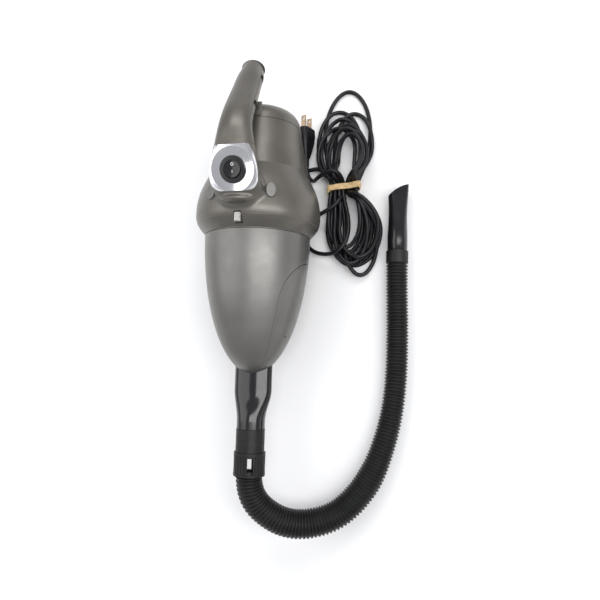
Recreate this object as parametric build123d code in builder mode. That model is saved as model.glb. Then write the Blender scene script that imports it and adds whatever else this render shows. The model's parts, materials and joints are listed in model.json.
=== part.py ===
from build123d import *
import os
from math import cos, pi, radians, sin, tan

os.makedirs("parts", exist_ok=True)

# Corded hand vacuum with a stretch hose and crevice tool. Millimetres, +Z up, floor at z = 0.
# The nose points along -Y, the rear and the handle end along +Y, and X = 0 is the plane
# of symmetry of the machine. The hose and the power cord lie on the floor at its right.

# ---------------------------------------------------------------- driving dimensions
WALL = 2.4
FIT = 0.3
AXIS_Z = 70.0
BODY_AXIS = Axis((0, 0, AXIS_Z), (0, 1, 0))

SEAM_Y = -17.0
SEAM_R = 60.2
NOSE_LENGTH = 155.5
BELLY_Y = 6.5
BELLY_R = 71.5
BARREL_Y = 56.5
BARREL_R = 55.8
CAP_Y = 110.0
CAP_R = 46.0
REAR_Y = 130.5
REAR_R = 30.5

MOUTH_Z = 67.0
MOUTH_HALF_WIDTH = 22.2
MOUTH_HALF_HEIGHT = 11.9

# handle: (y, centre height, half width, half height) of upright elliptical sections
HANDLE_SECTIONS = [
    (3.0, 121.0, 15.0, 15.0),
    (13.5, 134.0, 24.5, 18.0),
    (24.0, 146.0, 27.0, 20.0),
    (36.0, 153.5, 26.0, 20.0),
    (50.0, 155.5, 24.0, 15.5),
    (64.0, 156.2, 21.4, 12.8),
    (78.0, 156.6, 18.8, 11.9),
    (100.0, 149.2, 17.3, 12.4),
    (121.0, 136.5, 16.5, 13.0),
    (140.0, 125.0, 15.4, 13.4),
    (156.0, 115.0, 14.4, 13.6),
    (180.0, 100.0, 12.8, 13.2),
]
HANDLE_END = (0, 167.3, 108.0)
HANDLE_FALL = 32.0
GRIP_START_Y = 62.0
GRIP_GAP = 0.5

PLATE_CENTRE = (0, 36.3, 158.9)
PLATE_TILT = 18.0
PLATE_THICK = 3.0
PLATE_DISH = 1.7
PLATE_WIDTH = 52.0
PLATE_LENGTH = 46.4
PLATE_SHIFT = 1.8
PLATE_CORNER = 12.0

CORD_R = 2.5
CORD_Z = 2.6
HOSE_R = 13.0
HOSE_BORE_R = 11.4
HOSE_Z = 13.2
TOOL_X = 155.2


def side_face(points):
    """A face in the plane of symmetry, from (y, distance from the motor axis) points."""
    with BuildSketch(Plane.YZ) as face:
        with BuildLine():
            Polyline([(y, AXIS_Z + r) for y, r in points], close=True)
        make_face()
    return face.sketch


def tube_outline(inner, outer, start, end):
    """Side outline of a round tube about the motor axis."""
    return side_face([(start, inner), (end, inner), (end, outer), (start, outer)])


def barrel_radius(y):
    """Outer radius of the tapered motor barrel at y."""
    return BARREL_R + (CAP_R - BARREL_R) * (y - BARREL_Y) / (CAP_Y - BARREL_Y)


def housing_outline(inset, front, back):
    """Half outline of the belly and motor barrel, moved in by inset."""
    start_y = SEAM_Y + 1
    with BuildSketch(Plane.YZ) as face:
        with BuildLine():
            Line((front, AXIS_Z + SEAM_R - inset), (start_y, AXIS_Z + SEAM_R - inset))
            Spline(
                (start_y, AXIS_Z + SEAM_R - inset),
                (BELLY_Y, AXIS_Z + BELLY_R - inset),
                tangents=((1, 0.95), (1, 0)),
            )
            Spline(
                (BELLY_Y, AXIS_Z + BELLY_R - inset),
                (BARREL_Y, AXIS_Z + BARREL_R - inset),
                tangents=((1, 0), (1, -0.52)),
            )
            Polyline(
                (BARREL_Y, AXIS_Z + BARREL_R - inset),
                (back, AXIS_Z + barrel_radius(back) - inset),
                (back, AXIS_Z),
                (front, AXIS_Z),
                (front, AXIS_Z + SEAM_R - inset),
            )
        make_face()
    return face.sketch


def nose_outline(inset, back):
    """Quarter ellipse whose revolution is the nose, moved in by inset."""
    with BuildSketch(Plane.YZ) as face:
        with Locations((SEAM_Y, AXIS_Z)):
            Ellipse(NOSE_LENGTH - inset, SEAM_R - inset)
        with Locations((SEAM_Y - NOSE_LENGTH - 1, AXIS_Z)):
            Rectangle(
                NOSE_LENGTH + 1 + back - SEAM_Y,
                SEAM_R,
                align=(Align.MIN, Align.MIN),
                mode=Mode.INTERSECT,
            )
    return face.sketch


def handle_solid(inset):
    """The handle as one loft through its sections, moved in by inset."""
    with BuildPart() as body:
        for y, z, half_width, half_height in HANDLE_SECTIONS:
            with BuildSketch(Plane.XZ.offset(-y)):
                with Locations((0, z)):
                    Ellipse(half_width - inset, half_height - inset)
        loft()
        split(bisect_by=end_plane(inset), keep=Keep.BOTTOM)
    return body.part


def end_plane(shift):
    """Plane across the handle at its end, moved out along the handle by shift."""
    fall = radians(HANDLE_FALL)
    plane = Plane(origin=HANDLE_END, x_dir=(1, 0, 0), z_dir=(0, cos(fall), -sin(fall)))
    return plane.offset(shift)


def grip_region(shift):
    """The space round the handle's under side, below its parting line lowered by shift."""
    line = [(y, z + 4.5 - shift) for y, z, _, _ in HANDLE_SECTIONS if y >= GRIP_START_Y + 1]
    start = GRIP_START_Y + shift
    end = line[-1][0]
    with BuildPart() as region:
        with BuildSketch(Plane.YZ):
            with BuildLine():
                Spline(*line)
                Polyline(line[-1], (end, 60), (128, 60), (118, 120), (start, 130), (start, line[0][1]), line[0])
            make_face()
        extrude(amount=40, both=True)
    return region.part


def parting_region(shift):
    """The lower front of the nose, under the curved parting line, lowered by shift."""
    line = [
        (-46.5, 62.0),
        (-48.5, 78.0),
        (-55.5, 93.5),
        (-68.0, 103.5),
        (-84.0, 107.3),
        (-100.0, 106.4),
        (-121.0, 102.2),
        (-139.0, 97.0),
        (-153.0, 91.0),
        (-164.0, 84.0),
        (-176.0, 74.0),
    ]
    line = [(y - shift, z - shift) for y, z in line]
    with BuildPart() as region:
        with BuildSketch(Plane.YZ):
            with BuildLine():
                Spline(*line)
                Polyline(line[-1], (-190, line[-1][1]), (-190, -5), (line[0][0], -5), line[0])
            make_face()
        extrude(amount=80, both=True)
    return region.part


def oval_rod(half_width, half_height, z, start, end):
    """An oval bar along Y between start and end."""
    with BuildPart() as rod:
        with BuildSketch(Plane.XZ.offset(-end)):
            with Locations((0, z)):
                Ellipse(half_width, half_height)
        extrude(amount=end - start)
    return rod.part


def round_path(points, radii_scale=0.45):
    """Straight runs joined by tangent arcs, each as large as its two runs allow."""
    vectors = [Vector(*p) for p in points]
    runs = [b - a for a, b in zip(vectors, vectors[1:])]
    radii = []
    for before, after in zip(runs, runs[1:]):
        turn = radians(before.get_angle(after))
        radii.append(radii_scale * min(before.length, after.length) / tan(turn / 2))
    return radii


def report_tube(name, wire, solid, section):
    """Prints the length of a tube and how its volume compares with section times length."""
    print(f"{name}: length {wire.length:.1f} mm, volume ratio {solid.volume / (section * wire.length):.4f}")


# ---------------------------------------------------------------- outer housing, two halves
handle_outer = handle_solid(0)
handle_inner = handle_solid(WALL)

plate_plane = Plane(
    origin=PLATE_CENTRE,
    x_dir=(1, 0, 0),
    z_dir=(0, -sin(radians(PLATE_TILT)), cos(radians(PLATE_TILT))),
)

FOOT_HALF_WIDTH = 15.0
FOOT_Y = (89.0, 104.0)
SCREW_SPOTS = [(4.0, 13.5), (64.0, 25.0), (110.0, 142.8), (150.0, 118.5)]
SCREW_BOSS_R = 4.2
BUTTON_Y = -7.3
SIDE_CAP_Y = 21.5
SIDE_CAP_ANGLE = 28.0


with BuildPart() as housing:
    revolve(housing_outline(0, SEAM_Y + 0.3, CAP_Y - 0.25), axis=BODY_AXIS)
    add(handle_outer)
    root_edges = housing.edges(Select.NEW).filter_by(
        lambda edge: abs(edge.center().X) > 5 and edge.center().Y < BARREL_Y
    )
    fillet(root_edges, radius=8)
    with BuildSketch(Plane.XY):
        with Locations((0, sum(FOOT_Y) / 2)):
            RectangleRounded(2 * FOOT_HALF_WIDTH, FOOT_Y[1] - FOOT_Y[0], 4)
    extrude(amount=30)
    with Locations((0, BELLY_Y, -10)):
        Box(80, 120, 20, mode=Mode.SUBTRACT)
housing_skin = housing.part

# the hollow inside, with the screw bosses and the button well left standing
with BuildPart() as hollow:
    revolve(housing_outline(WALL, SEAM_Y - 1, CAP_Y + 1), axis=BODY_AXIS)
    add(handle_inner)
    for y, z in SCREW_SPOTS:
        with BuildSketch(Plane.YZ):
            with Locations((y, z)):
                Circle(SCREW_BOSS_R)
        extrude(amount=80, both=True, mode=Mode.SUBTRACT)
    with Locations((0, BUTTON_Y, 131)):
        Box(13, 16.5, 18, mode=Mode.SUBTRACT)
    with Locations((0, 29, 135)):
        Box(26, 18, 22)

BUTTON_WIDTH = 7.6
BUTTON_LENGTH = 11.0
BUTTON_CLEARANCE = 0.35
WELL_FLOOR_Z = 124.5
SWITCH_R = 11.5
LIP_R = 57.2
LIP_FRONT_Y = -25.0

# cuts that both halves share, made once in the whole housing
with BuildPart() as housing_whole:
    add(housing_skin)
    add(hollow.part, mode=Mode.SUBTRACT)
    revolve(tube_outline(54.8, LIP_R, LIP_FRONT_Y, -9.0), axis=BODY_AXIS)
    revolve(side_face([(-9.5, 54.8), (-2.0, 69.0), (-4.5, 69.5), (-12.5, 58.6)]), axis=BODY_AXIS)
    with BuildSketch(plate_plane.offset(-PLATE_THICK)):
        with Locations((0, PLATE_SHIFT)):
            RectangleRounded(PLATE_WIDTH + 0.2, PLATE_LENGTH + 0.2, PLATE_CORNER + 0.1)
    extrude(amount=40, mode=Mode.SUBTRACT)
    with BuildSketch(plate_plane.offset(-PLATE_THICK)):
        Circle(SWITCH_R + 2.5)
    extrude(amount=-WALL - 1, mode=Mode.SUBTRACT)
    with Locations((0, BUTTON_Y, WELL_FLOOR_Z)):
        Box(
            BUTTON_WIDTH + 2 * BUTTON_CLEARANCE,
            BUTTON_LENGTH + 2 * BUTTON_CLEARANCE,
            30,
            align=(Align.CENTER, Align.CENTER, Align.MIN),
            mode=Mode.SUBTRACT,
        )
    add(grip_region(0), mode=Mode.SUBTRACT)
    for y, z in SCREW_SPOTS:
        with BuildSketch(Plane.YZ.offset(-60)):
            with Locations((y, z)):
                Circle(3.2)
        extrude(amount=52, mode=Mode.SUBTRACT)
        with BuildSketch(Plane.YZ.offset(-10)):
            with Locations((y, z)):
                Circle(1.55)
        extrude(amount=19, mode=Mode.SUBTRACT)


def side_cap_plane(side, out):
    """Plane on the flank of the belly, facing outwards, at a distance out from the motor axis."""
    lean = radians(SIDE_CAP_ANGLE)
    normal = (side * sin(lean), 0, cos(lean))
    origin = (normal[0] * out, SIDE_CAP_Y, AXIS_Z + normal[2] * out)
    return Plane(origin=origin, x_dir=(0, 1, 0), z_dir=normal)


SIDE_CAP_LENGTH = 16.4
SIDE_CAP_WIDTH = 11.6
SIDE_CAP_SEAT = 68.6

with BuildPart() as housing_right:
    add(housing_whole.part)
    split(bisect_by=Plane.YZ, keep=Keep.TOP)
    with BuildSketch(side_cap_plane(1, SIDE_CAP_SEAT)):
        Ellipse(SIDE_CAP_LENGTH / 2 + 0.2, SIDE_CAP_WIDTH / 2 + 0.2)
    extrude(amount=8, mode=Mode.SUBTRACT)
housing_right.part.label = "housing_right"
export_step(housing_right.part, "parts/housing_right.step")

with BuildPart() as housing_left:
    add(housing_whole.part)
    split(bisect_by=Plane.YZ, keep=Keep.BOTTOM)
    with BuildSketch(side_cap_plane(-1, SIDE_CAP_SEAT)):
        Ellipse(SIDE_CAP_LENGTH / 2 + 0.2, SIDE_CAP_WIDTH / 2 + 0.2)
    extrude(amount=8, mode=Mode.SUBTRACT)
housing_left.part.label = "housing_left"
export_step(housing_left.part, "parts/housing_left.step")

# oval covers on both flanks of the handle's root
for label, side in (("side_cap_right", 1), ("side_cap_left", -1)):
    with BuildPart() as side_cap:
        with BuildSketch(side_cap_plane(side, SIDE_CAP_SEAT)):
            Ellipse(SIDE_CAP_LENGTH / 2, SIDE_CAP_WIDTH / 2)
        extrude(amount=4.2)
        rim = side_cap.faces().sort_by(Axis((0, 0, 0), side_cap_plane(side, 0).z_dir))[-1]
        fillet(rim.edges(), radius=1.6)
    side_cap.part.label = label
    export_step(side_cap.part, f"parts/{label}.step")

# under side of the handle, a shell of its own that closes the handle from below
with BuildPart() as grip:
    add(handle_outer)
    add(handle_inner, mode=Mode.SUBTRACT)
    add(grip_region(GRIP_GAP), mode=Mode.INTERSECT)
    for y, z in SCREW_SPOTS:
        with BuildSketch(Plane.YZ):
            with Locations((y, z)):
                Circle(SCREW_BOSS_R + 0.3)
        extrude(amount=40, both=True, mode=Mode.SUBTRACT)
grip.part.label = "grip"
export_step(grip.part, "parts/grip.step")

# domed disc that closes the end of the handle
with BuildPart() as handle_end_cap:
    with BuildSketch(end_plane(0.1)):
        Ellipse(13.4, 11.4)
    extrude(amount=2.6)
    fillet(handle_end_cap.faces().sort_by(Axis.Y)[-1].edges(), radius=2.1)
    with BuildSketch(end_plane(0.1)):
        Ellipse(8.6, 6.2)
    extrude(amount=-2.4)
handle_end_cap.part.label = "handle_end_cap"
export_step(handle_end_cap.part, "parts/handle_end_cap.step")

# ---------------------------------------------------------------- switch
SWITCH_FLANGE_R = 14.0
SWITCH_FLANGE = 1.6
ROCKER_R = 8.9
ROCKER_TILT = 9.0
ROCKER_PIVOT_DEPTH = 1.5

with BuildPart() as switch_plate:
    with BuildSketch(plate_plane.offset(-PLATE_THICK)):
        with Locations((0, PLATE_SHIFT)):
            RectangleRounded(PLATE_WIDTH, PLATE_LENGTH, PLATE_CORNER)
    extrude(amount=PLATE_THICK)
    add(handle_outer, mode=Mode.INTERSECT)
    dish_r = (23.0**2 + PLATE_DISH**2) / (2 * PLATE_DISH)
    dish_centre = plate_plane.offset(dish_r - PLATE_DISH).origin
    with Locations(dish_centre):
        Sphere(dish_r, mode=Mode.SUBTRACT)
    with BuildSketch(plate_plane.offset(-PLATE_THICK - 1)):
        Circle(SWITCH_R + 0.3)
    extrude(amount=10, mode=Mode.SUBTRACT)
switch_plate.part.label = "switch_plate"
export_step(switch_plate.part, "parts/switch_plate.step")

flange_seat = -PLATE_DISH + 0.7
with BuildPart() as switch_body:
    with BuildSketch(plate_plane.offset(flange_seat)):
        Circle(SWITCH_FLANGE_R)
    extrude(amount=SWITCH_FLANGE)
    fillet(switch_body.edges().filter_by(GeomType.CIRCLE).sort_by(Axis.Z)[-1], radius=0.7)
    with BuildSketch(plate_plane.offset(flange_seat)):
        Circle(SWITCH_R)
    extrude(amount=-13)
    with BuildSketch(plate_plane.offset(flange_seat + SWITCH_FLANGE + 2)):
        Circle(ROCKER_R + 0.45)
    extrude(amount=-12, mode=Mode.SUBTRACT)
    with BuildSketch(plate_plane.offset(flange_seat - 10.6)):
        Circle(SWITCH_R - 1.5)
    extrude(amount=-1.2, mode=Mode.SUBTRACT)
switch_body.part.label = "switch_body"
export_step(switch_body.part, "parts/switch_body.step")

pivot_plane = plate_plane.offset(flange_seat + SWITCH_FLANGE - ROCKER_PIVOT_DEPTH)
rocker_plane = Plane(
    origin=pivot_plane.origin,
    x_dir=(1, 0, 0),
    z_dir=pivot_plane.z_dir.rotate(Axis.X, -ROCKER_TILT),
)
with BuildPart() as rocker:
    with BuildSketch(rocker_plane.offset(-4.5)):
        Circle(ROCKER_R)
    extrude(amount=8.1)
    with Locations(rocker_plane.origin):
        Sphere(ROCKER_R, mode=Mode.INTERSECT)
    dip_r = 60.0
    with Locations(rocker_plane.offset(dip_r + 1.6).origin):
        Sphere(dip_r, mode=Mode.SUBTRACT)
rocker.part.label = "rocker"
export_step(rocker.part, "parts/rocker.step")
print("rocker pivot", rocker_plane.origin)

# two flat tabs under the switch for the mains wires
with BuildPart() as switch_terminals:
    with BuildSketch(plate_plane.offset(flange_seat - 13.1)):
        with Locations((-4, 0), (4, 0)):
            Rectangle(1.0, 5.5)
    extrude(amount=-4.5)
switch_terminals.part.label = "switch_terminals"
export_step(switch_terminals.part, "parts/switch_terminals.step")

# ---------------------------------------------------------------- release button on the belly
BUTTON_TOP_Z = AXIS_Z + 70.1
STEM_BOTTOM_Z = WELL_FLOOR_Z + 6.5
with BuildPart() as release_button:
    with BuildSketch(Plane.XY.offset(BUTTON_TOP_Z - 6.5)):
        with Locations((0, BUTTON_Y)):
            RectangleRounded(BUTTON_WIDTH, BUTTON_LENGTH, 1.6)
    extrude(amount=6.5)
    fillet(release_button.faces().sort_by(Axis.Z)[-1].edges(), radius=1.4)
    with BuildSketch(Plane.XY.offset(BUTTON_TOP_Z - 6.5)):
        with Locations((0, BUTTON_Y)):
            Circle(1.6)
    extrude(amount=STEM_BOTTOM_Z - BUTTON_TOP_Z + 6.5)
release_button.part.label = "release_button"
export_step(release_button.part, "parts/release_button.step")

SPRING_R = 2.6
SPRING_WIRE_R = 0.35
spring_bottom = WELL_FLOOR_Z + SPRING_WIRE_R
spring_height = BUTTON_TOP_Z - 6.5 - spring_bottom - SPRING_WIRE_R
with BuildPart() as button_spring:
    with BuildLine(Plane((0, BUTTON_Y, spring_bottom))) as coil:
        Helix(pitch=spring_height / 5, height=spring_height, radius=SPRING_R)
    with BuildSketch(Plane(coil.line @ 0, z_dir=coil.line % 0)):
        Circle(SPRING_WIRE_R)
    sweep(path=coil.line, is_frenet=True)
button_spring.part.label = "button_spring"
export_step(button_spring.part, "parts/button_spring.step")

# ---------------------------------------------------------------- rear cap and exhaust filter
CAP_WALL = 2.2


def cap_outline(inset, front):
    """Half outline of the rear cap, moved in by inset."""
    turn_y = REAR_Y - 15
    with BuildSketch(Plane.YZ) as face:
        with BuildLine():
            shoulder = (turn_y, AXIS_Z + barrel_radius(turn_y) - inset)
            Line((front, AXIS_Z + barrel_radius(front) - inset), shoulder)
            bend = TangentArc(shoulder, (REAR_Y - inset, AXIS_Z + REAR_R - inset / 2), tangent=(1, -0.18))
            Polyline(
                bend @ 1,
                (REAR_Y - inset, AXIS_Z),
                (front, AXIS_Z),
                (front, AXIS_Z + barrel_radius(front) - inset),
            )
        make_face()
    return face.sketch


RELIEF_BASE = (-14.0, REAR_Y, 50.0)
RELIEF_DIRECTION = Vector(-0.35, 0.72, -0.60).normalized()
RELIEF_LENGTH = 26.0
RELIEF_ROOT_R = 5.2
RELIEF_TIP_R = 3.3
relief_plane = Plane(origin=RELIEF_BASE, z_dir=RELIEF_DIRECTION)

with BuildPart() as rear_cap:
    revolve(cap_outline(0, CAP_Y + 0.25), axis=BODY_AXIS)
    revolve(cap_outline(CAP_WALL, CAP_Y - 1), axis=BODY_AXIS, mode=Mode.SUBTRACT)
    revolve(tube_outline(40.6, 43.2, CAP_Y - 4.5, CAP_Y + 4.5), axis=BODY_AXIS)
    with BuildSketch(Plane.XZ.offset(-REAR_Y - 5)):
        for row in range(6):
            height = 62 + 6.2 * row
            half = (25.5**2 - (height - AXIS_Z) ** 2) ** 0.5
            with Locations((0, height)):
                SlotOverall(2 * half, 2.8)
    extrude(amount=20, mode=Mode.SUBTRACT)
    with BuildSketch(relief_plane.offset(-9)):
        Circle(RELIEF_ROOT_R + 0.3)
    extrude(amount=16, mode=Mode.SUBTRACT)
rear_cap.part.label = "rear_cap"
export_step(rear_cap.part, "parts/rear_cap.step")

# sprung tongue on top of the rear cap that snaps over the motor barrel
LATCH_HALF_ANGLE = 17.5
with BuildPart() as rear_latch:
    revolve(
        side_face([(CAP_Y + 1.5, 46.3), (125.0, 45.2), (126.6, 46.3), (125.4, 47.4), (CAP_Y + 5, 47.9)]),
        axis=BODY_AXIS,
    )
    with BuildSketch(Plane.XZ.offset(-CAP_Y + 5)):
        reach = 70.0
        lean = radians(LATCH_HALF_ANGLE)
        with BuildLine():
            Polyline(
                (0, AXIS_Z),
                (reach * sin(lean), AXIS_Z + reach * cos(lean)),
                (-reach * sin(lean), AXIS_Z + reach * cos(lean)),
                close=True,
            )
        make_face()
    extrude(amount=-40, mode=Mode.INTERSECT)
rear_latch.part.label = "rear_latch"
export_step(rear_latch.part, "parts/rear_latch.step")

with BuildPart() as exhaust_filter:
    revolve(tube_outline(0, 40.2, 111.5, 116.5), axis=BODY_AXIS)
    with BuildSketch(relief_plane.offset(-26)):
        Circle(RELIEF_TIP_R + 2.4)
    extrude(amount=24, mode=Mode.SUBTRACT)
exhaust_filter.part.label = "exhaust_filter"
export_step(exhaust_filter.part, "parts/exhaust_filter.step")

# ---------------------------------------------------------------- dust cup, nozzle and intake flap
nose_outer = nose_outline(0, SEAM_Y - 0.3)
nose_inner = nose_outline(WALL - 0.2, SEAM_Y + 1)
mouth_rod = oval_rod(MOUTH_HALF_WIDTH, MOUTH_HALF_HEIGHT, MOUTH_Z, -200, -120)
with BuildPart() as nose_shell:
    revolve(nose_outer, axis=BODY_AXIS)
    revolve(nose_inner, axis=BODY_AXIS, mode=Mode.SUBTRACT)

with BuildPart() as dust_cup:
    add(nose_shell.part)
    add(parting_region(0), mode=Mode.SUBTRACT)
    add(mouth_rod, mode=Mode.SUBTRACT)
dust_cup.part.label = "dust_cup"
export_step(dust_cup.part, "parts/dust_cup.step")

DUCT_WALL = 2.0
DUCT_BACK_Y = -131.5
FLAP_PIVOT = (DUCT_BACK_Y + 2.3, 81.6)
with BuildPart() as duct:
    add(oval_rod(MOUTH_HALF_WIDTH + DUCT_WALL, MOUTH_HALF_HEIGHT + DUCT_WALL, MOUTH_Z, -175, DUCT_BACK_Y))
    with Locations((0, DUCT_BACK_Y - 1, MOUTH_Z + 2)):
        Box(55, 2, 35)
    revolve(nose_outer, axis=BODY_AXIS, mode=Mode.INTERSECT)
    add(parting_region(0.55), mode=Mode.INTERSECT)

with BuildPart() as nozzle_shell:
    add(nose_shell.part)
    add(parting_region(0.55), mode=Mode.INTERSECT)
    add(duct.part)
    with Locations((-26.2, DUCT_BACK_Y + 2, FLAP_PIVOT[1]), (26.2, DUCT_BACK_Y + 2, FLAP_PIVOT[1])):
        Box(2.4, 5, 6)
    add(mouth_rod, mode=Mode.SUBTRACT)
    with BuildSketch(Plane.YZ):
        with Locations(FLAP_PIVOT):
            Circle(1.3)
    extrude(amount=40, both=True, mode=Mode.SUBTRACT)
nozzle_shell.part.label = "nozzle_shell"
export_step(nozzle_shell.part, "parts/nozzle_shell.step")

# rubber flap that keeps the dust in, hung on two pins above the duct
with BuildPart() as intake_flap:
    with BuildSketch(Plane.XZ.offset(-DUCT_BACK_Y - 0.3)):
        with Locations((0, MOUTH_Z)):
            Ellipse(MOUTH_HALF_WIDTH + 1.2, MOUTH_HALF_HEIGHT + 1.5)
        with Locations((0, FLAP_PIVOT[1] - 2.1)):
            Rectangle(30, 5)
    extrude(amount=-1.5)
    with BuildSketch(Plane.YZ):
        with Locations(FLAP_PIVOT):
            Circle(1.22)
    extrude(amount=27.2, both=True)
intake_flap.part.label = "intake_flap"
export_step(intake_flap.part, "parts/intake_flap.step")

with BuildPart() as cup_gasket:
    revolve(tube_outline(53.0, LIP_R - 0.4, LIP_FRONT_Y - 2.2, LIP_FRONT_Y), axis=BODY_AXIS)
cup_gasket.part.label = "cup_gasket"
export_step(cup_gasket.part, "parts/cup_gasket.step")

# ---------------------------------------------------------------- dust filter
FILTER_FRONT_Y = -78.0
with BuildPart() as filter_frame:
    revolve(
        side_face([(-24.5, 46.0), (-16.2, 46.0), (-16.2, 54.4), (-18.7, 54.4), (-18.7, 49.2), (-24.5, 49.2)]),
        axis=BODY_AXIS,
    )
    for spoke in range(6):
        angle = 60.0 * spoke + 30
        with Locations(Location((0, -17.45, AXIS_Z), (0, angle, 0))):
            Box(47, 2.5, 2.4, align=(Align.MIN, Align.CENTER, Align.CENTER))
filter_frame.part.label = "filter_frame"
export_step(filter_frame.part, "parts/filter_frame.step")

with BuildPart() as filter_bag:
    revolve(
        side_face(
            [
                (-19.2, 49.4),
                (-24.8, 49.4),
                (-24.8, 46.5),
                (FILTER_FRONT_Y + 3, 27.0),
                (FILTER_FRONT_Y + 3, 0),
                (FILTER_FRONT_Y, 0),
                (FILTER_FRONT_Y, 29.5),
                (-26.5, 51.6),
                (-19.2, 51.6),
            ]
        ),
        axis=BODY_AXIS,
    )
filter_bag.part.label = "filter_bag"
export_step(filter_bag.part, "parts/filter_bag.step")

# ---------------------------------------------------------------- fan
SHAFT_R = 4.0
FAN_R = 52.0
with BuildPart() as fan_cover:
    revolve(side_face([(7.0, 17.0), (10.5, 19.0), (10.5, 68.4), (8.5, 68.4), (8.5, 20.0), (5.5, 18.5)]), axis=BODY_AXIS)
fan_cover.part.label = "fan_cover"
export_step(fan_cover.part, "parts/fan_cover.step")

with BuildPart() as impeller_disc:
    revolve(side_face([(26.0, SHAFT_R), (28.0, SHAFT_R), (28.0, FAN_R), (26.5, FAN_R), (25.5, 12.0), (19.0, 10.0), (19.0, SHAFT_R)]), axis=BODY_AXIS)

with BuildPart() as blade:
    with BuildSketch(Plane.XZ.offset(-12.5)):
        with BuildLine():
            outside = ThreePointArc((17.0, AXIS_Z + 6), (34.0, AXIS_Z + 15.5), (50.5, AXIS_Z + 9))
            inside = ThreePointArc((17.0, AXIS_Z + 4.4), (34.0, AXIS_Z + 13.7), (50.5, AXIS_Z + 7.2))
            Line(outside @ 0, inside @ 0)
            Line(outside @ 1, inside @ 1)
        make_face()
    extrude(amount=-14.2)
BLADES = 9
with BuildPart() as impeller:
    add(impeller_disc.part)
    for number in range(BLADES):
        add(blade.part.rotate(BODY_AXIS, number * 360 / BLADES))
impeller.part.label = "impeller"
export_step(impeller.part, "parts/impeller.step")

with BuildPart() as impeller_nut:
    with BuildSketch(Plane.XZ.offset(-13.0)):
        with Locations((0, AXIS_Z)):
            RegularPolygon(6.5, 6)
            Circle(SHAFT_R, mode=Mode.SUBTRACT)
    extrude(amount=-5.8)
impeller_nut.part.label = "impeller_nut"
export_step(impeller_nut.part, "parts/impeller_nut.step")

# ---------------------------------------------------------------- motor
CAN_R = 35.0
with BuildPart() as motor_frame:
    revolve(side_face([(33, 13), (36, 13), (36, CAN_R - 2), (98, CAN_R - 2), (98, CAN_R), (36, CAN_R), (36, 57.5), (33, 57.5)]), axis=BODY_AXIS)
    revolve(tube_outline(11.05, 13.5, 31.0, 38.5), axis=BODY_AXIS)
    with BuildSketch(Plane.XZ.offset(-60)):
        with Locations((0, AXIS_Z)):
            with PolarLocations(46, 8):
                Circle(6)
    extrude(amount=60, mode=Mode.SUBTRACT)
    with BuildSketch(Plane.YZ):
        with Locations((88.5, AXIS_Z)):
            Rectangle(9.4, 10.4)
    extrude(amount=60, both=True, mode=Mode.SUBTRACT)
    with Locations((0, 34.5, 122)):
        Box(24, 6, 14, mode=Mode.SUBTRACT)
motor_frame.part.label = "motor_frame"
export_step(motor_frame.part, "parts/motor_frame.step")

with BuildPart() as motor_end_bell:
    revolve(side_face([(98.2, 11.05), (103, 11.05), (103, 14), (100.5, 14), (100.5, CAN_R), (98.2, CAN_R)]), axis=BODY_AXIS)
    with BuildSketch(Plane.XZ.offset(-110)):
        with Locations((0, AXIS_Z)):
            with PolarLocations(24, 6):
                Circle(5)
    extrude(amount=20, mode=Mode.SUBTRACT)
motor_end_bell.part.label = "motor_end_bell"
export_step(motor_end_bell.part, "parts/motor_end_bell.step")

with BuildPart() as stator:
    revolve(tube_outline(20.0, CAN_R - 2.2, 45, 77), axis=BODY_AXIS)
stator.part.label = "stator"
export_step(stator.part, "parts/stator.step")

with BuildPart() as field_coils:
    for start in (39.5, 77.2):
        revolve(tube_outline(21.0, 31.0, start, start + 5.2), axis=BODY_AXIS)
field_coils.part.label = "field_coils"
export_step(field_coils.part, "parts/field_coils.step")

with BuildPart() as armature:
    revolve(tube_outline(SHAFT_R, 19.2, 46, 76), axis=BODY_AXIS)
    with BuildSketch(Plane.XZ.offset(-80)):
        with Locations((0, AXIS_Z)):
            with PolarLocations(18.4, 12):
                Rectangle(5, 1.8)
    extrude(amount=40, mode=Mode.SUBTRACT)
armature.part.label = "armature"
export_step(armature.part, "parts/armature.step")

with BuildPart() as armature_windings:
    for start in (40.0, 76.2):
        revolve(tube_outline(SHAFT_R, 15.0, start, start + 5.8), axis=BODY_AXIS)
armature_windings.part.label = "armature_windings"
export_step(armature_windings.part, "parts/armature_windings.step")

with BuildPart() as commutator:
    revolve(tube_outline(SHAFT_R, 10.0, 83, 94), axis=BODY_AXIS)
commutator.part.label = "commutator"
export_step(commutator.part, "parts/commutator.step")

with BuildPart() as motor_shaft:
    revolve(tube_outline(0, SHAFT_R, 11.5, 104.5), axis=BODY_AXIS)
motor_shaft.part.label = "motor_shaft"
export_step(motor_shaft.part, "parts/motor_shaft.step")

for label, start in (("bearing_front", 31.2), ("bearing_rear", 98.4)):
    with BuildPart() as bearing:
        revolve(side_face([(start, SHAFT_R + 0.05), (start + 4.2, SHAFT_R + 0.05), (start + 4.2, 11.0), (start, 11.0)]), axis=BODY_AXIS)
    bearing.part.label = label
    export_step(bearing.part, f"parts/{label}.step")

with BuildPart() as carbon_brushes:
    with Locations((16.9, 88.5, AXIS_Z), (-16.9, 88.5, AXIS_Z)):
        Box(13, 5.6, 6.6)
carbon_brushes.part.label = "carbon_brushes"
export_step(carbon_brushes.part, "parts/carbon_brushes.step")

with BuildPart() as brush_holders:
    with Locations((27.5, 88.5, AXIS_Z), (-27.5, 88.5, AXIS_Z)):
        Box(27, 9.0, 10.0)
    with Locations((20.5, 88.5, AXIS_Z), (-20.5, 88.5, AXIS_Z)):
        Box(21.5, 5.8, 6.8, mode=Mode.SUBTRACT)
brush_holders.part.label = "brush_holders"
export_step(brush_holders.part, "parts/brush_holders.step")

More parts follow.
